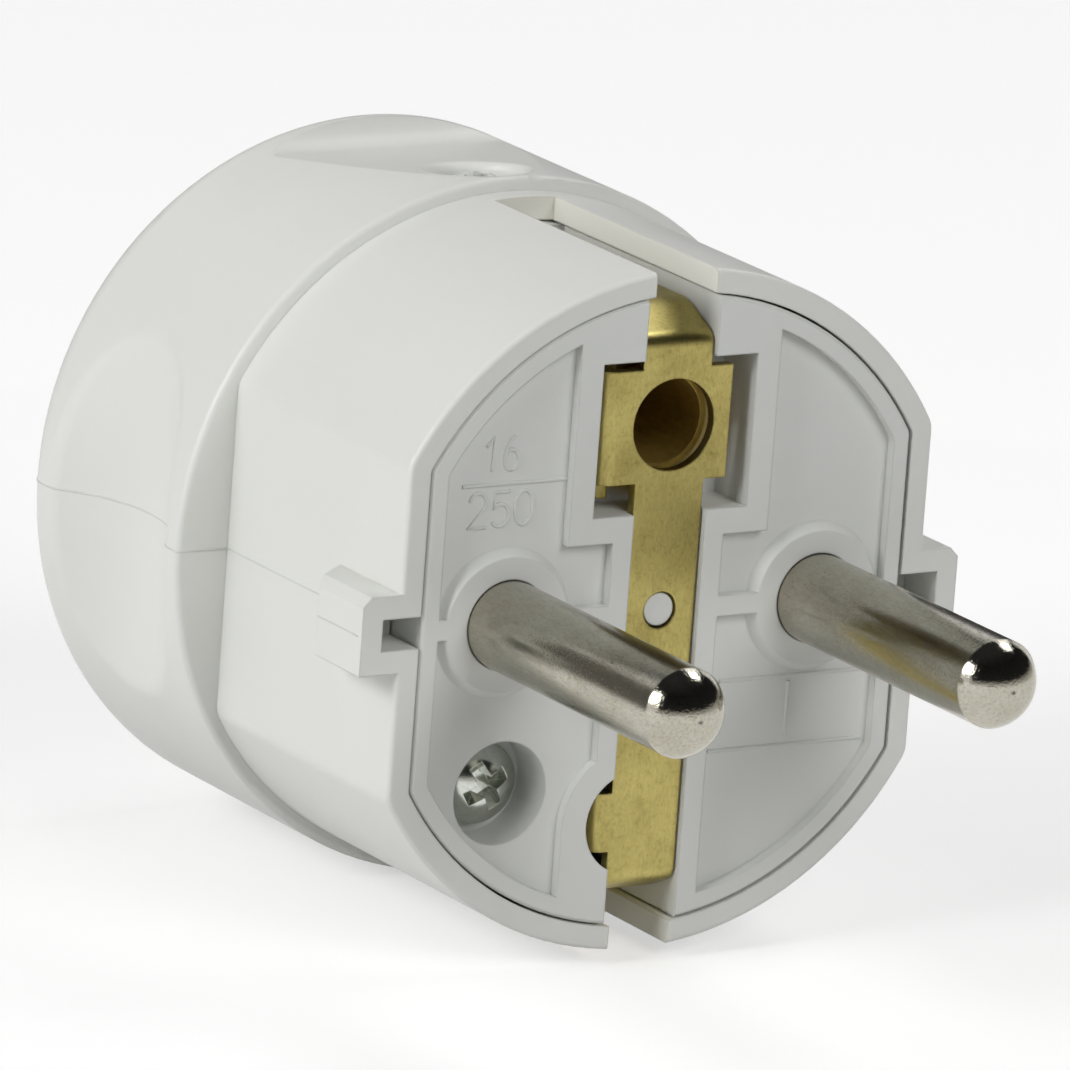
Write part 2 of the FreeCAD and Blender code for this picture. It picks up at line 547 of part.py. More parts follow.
def make_strap():
    def in_yz(p):
        return V(-STRAP_HALF, p.x, p.y)

    def in_xy(p):
        return V(p.x, p.y, EAR_BOTTOM)

    tail = GROOVE_FLOOR + STRAP_THICKNESS
    half_path = [V(CLIP_LENGTH, tail), V(CREST_END, CREST_HEIGHT), V(CREST_START, CREST_HEIGHT),
                 V(STRAP_RECESS, BEND_HEIGHT)]
    path = half_path + [V(p.x, -p.y) for p in reversed(half_path)]
    radii = [CREST_RADIUS, CREST_RADIUS, BEND_RADIUS, BEND_RADIUS, CREST_RADIUS, CREST_RADIUS]
    strip = sheet_face(path, radii, STRAP_THICKNESS, in_yz).extrude(V(STRAP_WIDTH, 0, 0))

    # Socket plate: a flat wing on the right and a wing rolled back on itself on the left
    roll_x = ROLL_RADIUS - ROLL_EDGE
    roll_y = STRAP_RECESS + ROLL_RADIUS
    roll_bottom = PLATE_BOTTOM - ROLL_OVERHANG
    leaf_y = roll_y + ROLL_RADIUS
    tube = Part.makeCylinder(ROLL_RADIUS, PLATE_TOP - roll_bottom, V(roll_x, roll_y, roll_bottom))
    tube = tube.cut(Part.makeCylinder(ROLL_RADIUS - STRAP_THICKNESS, PLATE_HEIGHT * 2, V(roll_x, roll_y, 0)))
    front_half = block(-ROLL_EDGE - OVER, roll_x, 0, roll_y, PLATE_BOTTOM, PLATE_TOP)
    rear_half = block(-ROLL_EDGE - OVER, roll_x, roll_y, leaf_y + OVER, roll_bottom, PLATE_TOP)
    leaf_end = -SLEEVE_OUTER - SLEEVE_FIT
    plate = [
        block(roll_x, PLATE_RIGHT, STRAP_RECESS, STRAP_BACK, PLATE_BOTTOM, PLATE_TOP),
        tube.common(front_half),
        tube.common(rear_half),
        block(roll_x, leaf_end, leaf_y - STRAP_THICKNESS, leaf_y, roll_bottom, PLATE_TOP),
    ]

    # Ear: folded back through the notch, then inward as the plate of the earth terminal
    ear_x = EAR_X - EAR_HALF_SPAN
    ear = sheet_face([V(EAR_X + EAR_HALF_SPAN, EAR_DEPTH), V(ear_x, EAR_DEPTH), V(ear_x, STRAP_RECESS),
                      V(0, STRAP_RECESS)], [EAR_BEND, EAR_BEND], STRAP_THICKNESS, in_xy)
    ear = ear.extrude(V(0, 0, EAR_WIDTH))
    strap = fused([strip] + plate + [ear])
    strap = strap.cut(rod(0, EARTH_HEIGHT, EARTH_HOLE_DIAMETER, 0, STRAP_BACK))
    strap = strap.cut(rod(0, 0, STUD_HOLE_DIAMETER, 0, STRAP_BACK + OVER))
    tapped = rod(EAR_X, EAR_Z, EARTH_THREAD + 2 * SCREW_FIT, EAR_DEPTH - STRAP_THICKNESS - OVER,
                 EAR_DEPTH + OVER)
    return strap.cut(tapped).removeSplitter()


def make_sleeve():
    end = SLEEVE_START + SLEEVE_LENGTH
    sleeve = rod(0, EARTH_HEIGHT, 2 * SLEEVE_OUTER, SLEEVE_START, end)
    sleeve = sleeve.cut(rod(0, EARTH_HEIGHT, SLEEVE_BORE, SLEEVE_START - OVER, end + OVER))
    slit = block(-SLEEVE_SLIT / 2, SLEEVE_SLIT / 2, SLEEVE_START - OVER, end + OVER, EARTH_HEIGHT,
                 EARTH_HEIGHT + 2 * SLEEVE_OUTER)
    return sleeve.cut(slit)


def make_saddle():
    y0 = CLAMP_Y - SADDLE_LENGTH / 2
    y1 = CLAMP_Y + SADDLE_LENGTH / 2
    saddle = block(-SADDLE_HALF_WIDTH, SADDLE_HALF_WIDTH, y0, y1, SADDLE_BOTTOM, SADDLE_TOP)
    saddle = saddle.cut(rod(0, 0, 2 * CORD_CHANNEL_RADIUS, y0 - OVER, y1 + OVER))
    dog_hole = Part.makeCylinder(CLAMP_THREAD / 2 + SCREW_FIT, SADDLE_HOLE_DEPTH + OVER,
                                 V(0, CLAMP_Y, SADDLE_TOP - SADDLE_HOLE_DEPTH), V(0, 0, 1))
    return saddle.cut(dog_hole)


terminal_seat = PIN_BOSS_DEPTH + PIN_HEAD_LENGTH + TERMINAL_STAND_OFF
terminal_screw = cheese_screw(TERMINAL_THREAD, TERMINAL_HEAD_DIAMETER, TERMINAL_HEAD_HEIGHT,
                              terminal_seat - PIN_BOSS_DEPTH - PIN_WIRE_SETBACK)
earth_screw = cheese_screw(EARTH_THREAD, EARTH_HEAD_DIAMETER, EARTH_HEAD_HEIGHT, EARTH_SCREW_LENGTH)
carrier_screw = pan_screw(CARRIER_THREAD, BORE_DEPTH + CARRIER_SCREW_BITE - WELL_DEPTH)
carrier_screw.rotate(V(0, 0, 0), V(0, 0, 1), 180)
clamp_screw = pan_screw(CLAMP_THREAD, CLAMP_HEAD_SEAT - SADDLE_TOP + SADDLE_HOLE_DEPTH)
clamp_screw.rotate(V(0, 0, 0), V(1, 0, 0), 90)
washer_half = WASHER_SIDE / 2
washer = block(EAR_X - washer_half, EAR_X + washer_half, EAR_DEPTH, EAR_DEPTH + WASHER_THICKNESS,
               EAR_Z - washer_half, EAR_Z + washer_half)
washer = washer.cut(rod(EAR_X, EAR_Z, EARTH_THREAD + 2 * SCREW_FIT, 0, EAR_DEPTH + WASHER_THICKNESS + OVER))
pin = make_pin()

nodes = {
    "housing": make_housing(),
    "contact_carrier": make_carrier(),
    "line_pin_left": moved(pin, -PIN_X, 0, 0),
    "line_pin_right": moved(pin, PIN_X, 0, 0),
    "terminal_screw_left": moved(terminal_screw, -PIN_X, terminal_seat, 0),
    "terminal_screw_right": moved(terminal_screw, PIN_X, terminal_seat, 0),
    "earth_strap": make_strap(),
    "earth_sleeve": make_sleeve(),
    "earth_clamp_washer": washer,
    "earth_terminal_screw": moved(earth_screw, EAR_X, EAR_DEPTH + WASHER_THICKNESS, EAR_Z),
    "carrier_screw": moved(carrier_screw, CARRIER_SCREW_X, WELL_DEPTH, CARRIER_SCREW_Z),
    "cord_clamp_screw": moved(clamp_screw, 0, CLAMP_Y, CLAMP_HEAD_SEAT),
    "cord_clamp_saddle": make_saddle(),
}

os.makedirs("parts", exist_ok=True)
for name, shape in nodes.items():
    solid = shape.Solids[0] if len(shape.Solids) == 1 else shape
    solid.exportStep("parts/" + name + ".step")
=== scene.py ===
import math

import bpy
from mathutils import Matrix, Vector


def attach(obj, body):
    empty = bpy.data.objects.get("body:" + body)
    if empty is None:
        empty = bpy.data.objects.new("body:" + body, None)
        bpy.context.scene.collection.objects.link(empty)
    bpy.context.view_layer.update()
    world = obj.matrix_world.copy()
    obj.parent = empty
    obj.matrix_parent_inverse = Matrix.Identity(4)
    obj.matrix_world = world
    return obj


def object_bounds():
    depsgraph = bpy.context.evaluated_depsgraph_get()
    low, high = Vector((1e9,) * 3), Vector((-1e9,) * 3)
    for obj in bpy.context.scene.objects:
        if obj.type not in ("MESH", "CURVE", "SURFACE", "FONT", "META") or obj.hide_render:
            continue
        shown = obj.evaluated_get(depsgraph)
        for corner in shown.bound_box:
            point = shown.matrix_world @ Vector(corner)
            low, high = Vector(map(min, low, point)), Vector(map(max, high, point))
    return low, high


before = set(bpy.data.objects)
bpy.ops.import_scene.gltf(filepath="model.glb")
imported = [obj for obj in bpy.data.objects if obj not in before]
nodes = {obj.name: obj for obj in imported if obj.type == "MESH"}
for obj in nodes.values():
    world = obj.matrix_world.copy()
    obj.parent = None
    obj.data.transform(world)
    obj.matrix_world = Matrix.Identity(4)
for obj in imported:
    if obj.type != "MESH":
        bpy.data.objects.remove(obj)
cad_low, cad_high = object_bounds()

# Housing. The outer shell is one injection moulding in white thermoplastic: a flat-sided front, a
# shoulder, and a round grip with a thumb hollow on each flank. Its skin is a fine satin with a
# faint orange peel and soft smudges. A warm cream light, bounced off the brass, is painted on the
# walls of the two slots.
MM = 0.001
BEVEL_SAMPLES = 4
SMUDGES = {"From Min": 0.42, "From Max": 0.78, "To Min": 0.0, "To Max": 1.0}
SMUDGE_ROUGHNESS = 0.16
PLASTIC_EDGE = 0.16 * MM
PEEL_STRENGTH = 0.12
PEEL_DEPTH = 0.03 * MM
SLOT_HALF = 1.85 * MM
SLOT_BLEED = 0.35 * MM
SLOT_FLOOR = 10.0 * MM
SLOT_LOW = 12.5 * MM
SLOT_TOP = 16.5 * MM
SLOT_END = 16.7 * MM
# Painted light: warm light bounced off the brass, laid on the slots' walls as a cream tint.
SLOT_BOUNCE_LIGHT = (0.93, 0.9, 0.76)
BOUNCE_MOST = 0.75
BOUNCE_AT_TOP = 0.35


def new_group(name, inputs, outputs):
    """An empty shader node group with its sockets, and its input and output nodes."""
    group = bpy.data.node_groups.new(name, "ShaderNodeTree")
    for socket, kind, default in inputs:
        made = group.interface.new_socket(socket, in_out="INPUT", socket_type=kind)
        made.default_value = default
    for socket, kind in outputs:
        group.interface.new_socket(socket, in_out="OUTPUT", socket_type=kind)
    return group, group.nodes.new("NodeGroupInput"), group.nodes.new("NodeGroupOutput")


def add(tree, kind, **settings):
    """A node with its properties set, and its unlinked inputs set from a dict called inputs."""
    node = tree.nodes.new(kind)
    values = settings.pop("inputs", {})
    for key, value in settings.items():
        setattr(node, key, value)
    for key, value in values.items():
        node.inputs[key].default_value = value
    return node


def join(tree, pairs):
    """Links each output to its input."""
    for source, target in pairs:
        tree.links.new(source, target)


def product(tree, *factors):
    """The product of two or more values."""
    result = factors[0]
    for factor in factors[1:]:
        times = add(tree, "ShaderNodeMath", operation="MULTIPLY")
        join(tree, ((result, times.inputs[0]), (factor, times.inputs[1])))
        result = times.outputs[0]
    return result


def moulded_skin_group():
    """Moulded plastic: a fine peel for the bump, and soft smudges for colour and roughness."""
    group, start, end = new_group(
        "moulded skin",
        [("Clean Color", "NodeSocketColor", (0.8, 0.8, 0.8, 1)),
         ("Smudge Color", "NodeSocketColor", (0.7, 0.7, 0.7, 1)),
         ("Smudge Amount", "NodeSocketFloat", 0.3),
         ("Roughness", "NodeSocketFloat", 0.4),
         ("Peel Scale", "NodeSocketFloat", 3500.0)],
        [("Color", "NodeSocketColor"), ("Roughness", "NodeSocketFloat"),
         ("Height", "NodeSocketFloat")])
    place = add(group, "ShaderNodeTexCoord")
    peel = add(group, "ShaderNodeTexNoise", inputs={"Detail": 3.0, "Roughness": 0.55})
    cloud = add(group, "ShaderNodeTexNoise",
                inputs={"Scale": 90.0, "Detail": 4.0, "Roughness": 0.6})
    spread = add(group, "ShaderNodeMapRange", inputs=SMUDGES)
    tint = add(group, "ShaderNodeMix", data_type="RGBA")
    rough = add(group, "ShaderNodeMath", operation="MULTIPLY_ADD", inputs={1: SMUDGE_ROUGHNESS})
    amount = product(group, spread.outputs["Result"], start.outputs["Smudge Amount"])
    join(group, ((place.outputs["Object"], peel.inputs["Vector"]),
                 (start.outputs["Peel Scale"], peel.inputs["Scale"]),
                 (place.outputs["Object"], cloud.inputs["Vector"]),
                 (cloud.outputs["Fac"], spread.inputs["Value"]),
                 (amount, tint.inputs["Factor"]),
                 (start.outputs["Clean Color"], tint.inputs["A"]),
                 (start.outputs["Smudge Color"], tint.inputs["B"]),
                 (spread.outputs["Result"], rough.inputs[0]),
                 (start.outputs["Roughness"], rough.inputs[2]),
                 (tint.outputs["Result"], end.inputs["Color"]),
                 (rough.outputs[0], end.inputs["Roughness"]),
                 (peel.outputs["Fac"], end.inputs["Height"])))
    return group


def new_material(name):
    """A material with an emptied tree, its Principled shader and its output."""
    material = bpy.data.materials.new(name)
    material.use_nodes = True
    tree = material.node_tree
    tree.nodes.clear()
    shader = add(tree, "ShaderNodeBsdfPrincipled")
    out = add(tree, "ShaderNodeOutputMaterial")
    tree.links.new(shader.outputs[0], out.inputs["Surface"])
    return material, tree, shader


def lay_on(tree, shader, skin, edge, strength, depth):
    """Puts a skin's colour, roughness and bump on a shader, with edges softened by a radius."""
    soft = add(tree, "ShaderNodeBevel", samples=BEVEL_SAMPLES, inputs={"Radius": edge})
    bump = add(tree, "ShaderNodeBump", inputs={"Strength": strength, "Distance": depth})
    join(tree, ((skin.outputs["Height"], bump.inputs["Height"]),
                (soft.outputs["Normal"], bump.inputs["Normal"]),
                (skin.outputs["Color"], shader.inputs["Base Color"]),
                (skin.outputs["Roughness"], shader.inputs["Roughness"]),
                (bump.outputs["Normal"], shader.inputs["Normal"])))


def dress(node, material):
    """Gives a CAD node its one material."""
    mesh = nodes[node].data
    mesh.materials.clear()
    mesh.materials.append(material)


moulded_skin = moulded_skin_group()


def white_plastic(name, clean, smudge, amount, roughness):
    """Moulded white plastic with softened edges."""
    material, tree, shader = new_material(name)
    skin = add(tree, "ShaderNodeGroup", node_tree=moulded_skin, inputs={
        "Clean Color": (*clean, 1), "Smudge Color": (*smudge, 1),
        "Smudge Amount": amount, "Roughness": roughness})
    lay_on(tree, shader, skin, PLASTIC_EDGE, PEEL_STRENGTH, PEEL_DEPTH)
    return material


def shader_of(material):
    """A material's Principled shader."""
    return next(n for n in material.node_tree.nodes if n.type == "BSDF_PRINCIPLED")


def paint_lighting_tint(material, mask, color):
    """Mixes a colour that paints light or shade into a material's base colour where the mask is 1.
    """
    tree = material.node_tree
    base = shader_of(material).inputs["Base Color"]
    mix = add(tree, "ShaderNodeMix", data_type="RGBA", inputs={"B": (*color, 1)})
    join(tree, ((mask, mix.inputs["Factor"]),
                (base.links[0].from_socket, mix.inputs["A"]),
                (mix.outputs["Result"], base)))


def slot_bounce_mask(tree):
    """Painted bounce light on the slots' walls: most low down, less at their tops, 0 elsewhere."""
    place = add(tree, "ShaderNodeTexCoord")
    axes = add(tree, "ShaderNodeSeparateXYZ")
    aside = add(tree, "ShaderNodeMath", operation="ABSOLUTE")
    above = add(tree, "ShaderNodeMath", operation="ABSOLUTE")
    inside = add(tree, "ShaderNodeMapRange", inputs={
        "From Min": SLOT_HALF + SLOT_BLEED, "From Max": SLOT_HALF,
        "To Min": 0.0, "To Max": BOUNCE_MOST})
    deep = add(tree, "ShaderNodeMapRange", inputs={
        "From Min": SLOT_TOP, "From Max": SLOT_LOW, "To Min": BOUNCE_AT_TOP, "To Max": 1.0})
    beyond = add(tree, "ShaderNodeMath", operation="GREATER_THAN", inputs={1: SLOT_FLOOR})
    before = add(tree, "ShaderNodeMath", operation="LESS_THAN", inputs={1: SLOT_END})
    join(tree, ((place.outputs["Object"], axes.inputs[0]),
                (axes.outputs["X"], aside.inputs[0]),
                (axes.outputs["Z"], above.inputs[0]),
                (aside.outputs[0], inside.inputs["Value"]),
                (above.outputs[0], deep.inputs["Value"]),
                (above.outputs[0], beyond.inputs[0]),
                (axes.outputs["Y"], before.inputs[0])))
    return product(tree, inside.outputs["Result"], deep.outputs["Result"],
                   beyond.outputs[0], before.outputs[0])


housing_white = white_plastic("housing white", clean=(0.77, 0.777, 0.742),
                              smudge=(0.72, 0.724, 0.682), amount=0.3, roughness=0.38)
# Paints warm bounce light on the walls of the two slots.
paint_lighting_tint(housing_white, slot_bounce_mask(housing_white.node_tree), SLOT_BOUNCE_LIGHT)
dress("housing", housing_white)

# Moulding seam. Where the two halves of the mould met, a hair of plastic stands along each flank of
# the shell, over grip, shoulder, front and guide tab.
SEAM_RADIUS = 0.055 * MM
SEAM_HEIGHT = 0.0
SEAM_STEPS = 420
SEAM_MARGIN = 0.4 * MM
RIDGE_SIDES = 8


def path_tree(name, inputs):
    """An empty geometry node tree: itself, its inputs' identifiers, and its two end nodes."""
    tree = bpy.data.node_groups.new(name, "GeometryNodeTree")
    tree.interface.new_socket("Geometry", in_out="INPUT", socket_type="NodeSocketGeometry")
    sockets = {}
    for key, kind in inputs:
        made = tree.interface.new_socket(key, in_out="INPUT", socket_type=kind)
        sockets[key] = made.identifier
    tree.interface.new_socket("Geometry", in_out="OUTPUT", socket_type="NodeSocketGeometry")
    return tree, sockets, add(tree, "NodeGroupInput"), add(tree, "NodeGroupOutput")


def sweep(tree, given, result, path):
    """Ends a tree with its path swept to a round ridge, of the radius and material given to it."""
    ring = add(tree, "GeometryNodeCurvePrimitiveCircle", inputs={"Resolution": RIDGE_SIDES})
    tube = add(tree, "GeometryNodeCurveToMesh", inputs={"Fill Caps": True})
    whole = add(tree, "GeometryNodeRealizeInstances")
    finish = add(tree, "GeometryNodeSetMaterial")
    join(tree, ((path, tube.inputs["Curve"]),
                (given.outputs["Radius"], ring.inputs["Radius"]),
                (ring.outputs["Curve"], tube.inputs["Profile Curve"]),
                (tube.outputs["Mesh"], whole.inputs["Geometry"]),
                (whole.outputs["Geometry"], finish.inputs["Geometry"]),
                (given.outputs["Material"], finish.inputs["Material"]),
                (finish.outputs["Geometry"], result.inputs["Geometry"])))


def seam_tree():
    """A fine ridge on the housing along Y: points cast on it from the side, swept to a tube."""
    tree, sockets, given, result = path_tree("moulding seam", (
        ("Housing", "NodeSocketObject"), ("Material", "NodeSocketMaterial"),
        ("Start", "NodeSocketVector"), ("End", "NodeSocketVector"),
        ("Inward", "NodeSocketVector"), ("Steps", "NodeSocketInt"),
        ("Radius", "NodeSocketFloat")))
    line = add(tree, "GeometryNodeCurvePrimitiveLine")
    fine = add(tree, "GeometryNodeResampleCurve")
    shell = add(tree, "GeometryNodeObjectInfo", transform_space="RELATIVE")
    cast = add(tree, "GeometryNodeRaycast")
    place = add(tree, "GeometryNodeSetPosition")
    join(tree, ((given.outputs["Start"], line.inputs["Start"]),
                (given.outputs["End"], line.inputs["End"]),
                (line.outputs["Curve"], fine.inputs["Curve"]),
                (given.outputs["Steps"], fine.inputs["Count"]),
                (given.outputs["Housing"], shell.inputs["Object"]),
                (shell.outputs["Geometry"], cast.inputs["Target Geometry"]),
                (given.outputs["Inward"], cast.inputs["Ray Direction"]),
                (fine.outputs["Curve"], place.inputs["Geometry"]),
                (cast.outputs["Is Hit"], place.inputs["Selection"]),
                (cast.outputs["Hit Position"], place.inputs["Position"])))
    sweep(tree, given, result, place.outputs["Geometry"])
    return tree, sockets


def grown(name, tree, sockets, values, seed=None):
    """An object whose mesh a geometry node tree has grown, with the modifier taken off again."""
    piece = bpy.data.objects.new(name, seed or bpy.data.meshes.new(name + "_seed"))
    bpy.context.scene.collection.objects.link(piece)
    modifier = piece.modifiers.new(tree.name, "NODES")
    modifier.node_group = tree
    for key, value in values.items():
        modifier[sockets[key]] = value
    bpy.context.view_layer.update()
    evaluated = piece.evaluated_get(bpy.context.evaluated_depsgraph_get())
    mesh = bpy.data.meshes.new_from_object(evaluated)
    piece.modifiers.clear()
    piece.data = mesh
    mesh.name = name
    return piece


seam, seam_sockets = seam_tree()
for side, name in ((-1, "moulding_seam_left"), (1, "moulding_seam_right")):
    away = side * 2 * cad_high.x
    hair = grown(name, seam, seam_sockets, {
        "Housing": nodes["housing"], "Material": housing_white,
        "Start": (away, SEAM_MARGIN, SEAM_HEIGHT),
        "End": (away, cad_high.y - SEAM_MARGIN, SEAM_HEIGHT),
        "Inward": (-side, 0, 0), "Steps": SEAM_STEPS, "Radius": SEAM_RADIUS})
    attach(hair, "root")

# Contact carrier. A second white moulding pushed into the front bore, with sunk panels between its
# ribs and rings; its colour is a touch greyer than the shell's. Shade with a warm cast of the brass
# is painted on the floor of the pocket round the earth socket. The saddle of the cord clamp is the
# same plastic.
SOCKET_CENTRE = Vector((0, 0, 10.0)) * MM
SOCKET_RADIUS = 4.2 * MM
SOCKET_BLEED = 0.6 * MM
POCKET_FROM = 1.5 * MM
# Painted shade, warm from the brass, on the carrier round the earth socket.
POCKET_SHADE_TINT = (0.4, 0.3, 0.11)


def pocket_shade_mask(tree):
    """1 round the earth socket's axis and behind the face, where shade is painted; 0 elsewhere."""
    place = add(tree, "ShaderNodeTexCoord")
    across = add(tree, "ShaderNodeVectorMath", operation="MULTIPLY", inputs={1: (1, 0, 1)})
    reach = add(tree, "ShaderNodeVectorMath", operation="DISTANCE", inputs={1: SOCKET_CENTRE})
    bore = add(tree, "ShaderNodeMapRange", inputs={
        "From Min": SOCKET_RADIUS + SOCKET_BLEED, "From Max": SOCKET_RADIUS,
        "To Min": 0.0, "To Max": 1.0})
    axes = add(tree, "ShaderNodeSeparateXYZ")
    deep = add(tree, "ShaderNodeMath", operation="GREATER_THAN", inputs={1: POCKET_FROM})
    join(tree, ((place.outputs["Object"], across.inputs[0]),
                (across.outputs["Vector"], reach.inputs[0]),
                (reach.outputs["Value"], bore.inputs["Value"]),
                (place.outputs["Object"], axes.inputs[0]),
                (axes.outputs["Y"], deep.inputs[0])))
    return product(tree, bore.outputs["Result"], deep.outputs[0])


carrier_white = white_plastic("carrier white", clean=(0.74, 0.751, 0.722),
                              smudge=(0.69, 0.697, 0.662), amount=0.35, roughness=0.42)
# Paints shade with a warm brass cast round the earth socket.
paint_lighting_tint(carrier_white, pocket_shade_mask(carrier_white.node_tree), POCKET_SHADE_TINT)
for node in ("contact_carrier", "cord_clamp_saddle"):
    dress(node, carrier_white)

# Rating figures. Current and voltage stand as plain raised figures in the upper left panel, one
# over the other with a line between, moulded in one with the carrier as fine rounded ridges.
PANEL_FLOOR = 0.6 * MM
RIDGE_RADIUS = 0.11 * MM
ARC_STEPS = 24
BAR_LEFT, BAR_RIGHT, BAR_HEIGHT = -12.5 * MM, -4.9 * MM, 7.47 * MM


def arc(x, z, wide, high, start, end):
    """Points on an oval arc of a figure that fills a box of one by one."""
    turns = [math.radians(start + (end - start) * i / ARC_STEPS) for i in range(ARC_STEPS + 1)]
    return [(x + wide * math.cos(t), z + high * math.sin(t)) for t in turns]


STROKES = {
    "0": [arc(0.5, 0.5, 0.38, 0.5, 0, 360)],
    "1": [[(0.2, 0.74), (0.55, 1.0), (0.55, 0.0)]],
    "2": [arc(0.5, 0.72, 0.36, 0.28, 170, -35) + [(0.12, 0.0), (0.88, 0.0)]],
    "5": [[(0.84, 1.0), (0.22, 1.0)] + arc(0.48, 0.32, 0.38, 0.32, 140, -150)],
    "6": [arc(0.5, 0.3, 0.36, 0.3, 0, 360), arc(0.8, 0.3, 0.66, 0.7, 180, 105)],
}


def ridge_tree():
    """Lines of edges swept to rounded ridges."""
    tree, sockets, given, result = path_tree("moulded ridge", (
        ("Material", "NodeSocketMaterial"), ("Radius", "NodeSocketFloat")))
    path = add(tree, "GeometryNodeMeshToCurve")
    tree.links.new(given.outputs["Geometry"], path.inputs["Mesh"])
    sweep(tree, given, result, path.outputs["Curve"])
    return tree, sockets


ridge, ridge_sockets = ridge_tree()


def ridges(name, lines):
    """Rounded ridges lying half sunk on the panel's floor, along lines of points in X and Z."""
    points, edges = [], []
    for line in lines:
        first = len(points)
        closed = math.dist(line[0], line[-1]) < RIDGE_RADIUS
        points += [(x, PANEL_FLOOR, z) for x, z in (line[:-1] if closed else line)]
        edges += [(i, i + 1) for i in range(first, len(points) - 1)]
        if closed:
            edges.append((len(points) - 1, first))
    seed = bpy.data.meshes.new(name + "_lines")
    seed.from_pydata(points, edges, [])
    piece = grown(name, ridge, ridge_sockets,
                  {"Material": carrier_white, "Radius": RIDGE_RADIUS}, seed)
    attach(piece, "root")


def figure_lines(number, left, foot, wide, high):
    """A number's strokes, from its left end and foot, with one figure's width and height, in mm."""
    return [[((left + (i + x) * wide) * MM, (foot + z * high) * MM) for x, z in stroke]
            for i, figure in enumerate(number) for stroke in STROKES[figure]]


ridges("rating_figures", [[(BAR_LEFT, BAR_HEIGHT), (BAR_RIGHT, BAR_HEIGHT)]]
       + figure_lines("16", left=-11.4, foot=8.2, wide=1.2, high=1.8)
       + figure_lines("250", left=-12.15, foot=5.2, wide=1.4, high=1.85))

# Plate lines. Fine raised lines divide the lower right panel into fields, left bare; they are
# moulded in one with the carrier too. Their ends are in mm.
PLATE_LINES = (((3.8, -8.1), (13.4, -8.1)), ((8.55, -7.6), (8.55, -4.6)),
               ((4.2, -4.3), (13.2, -4.3)))
ridges("plate_lines", [[(x * MM, z * MM) for x, z in line] for line in PLATE_LINES])

# Line pins. Brass rod, turned with a domed tip, then nickel plated. The plating is satin, finely
# pitted, with a brassy stain where it has worn, and use has polished the tips.
TARNISH_CLOUDS = {"From Min": 0.4, "From Max": 0.72, "To Min": 0.0, "To Max": 1.0}
PITS = {"From Min": 0.52, "From Max": 0.72, "To Min": 0.0, "To Max": 1.0}
GRAIN_SHADE = {"From Min": 0.25, "From Max": 0.75, "To Min": 0.86, "To Max": 1.1}
DULL_ROUGHNESS = 0.2
METAL_BUMP = 0.5
SHANK_END = -17.2 * MM
POLISHED_FROM = -17.6 * MM
TIP_POLISH = 0.5


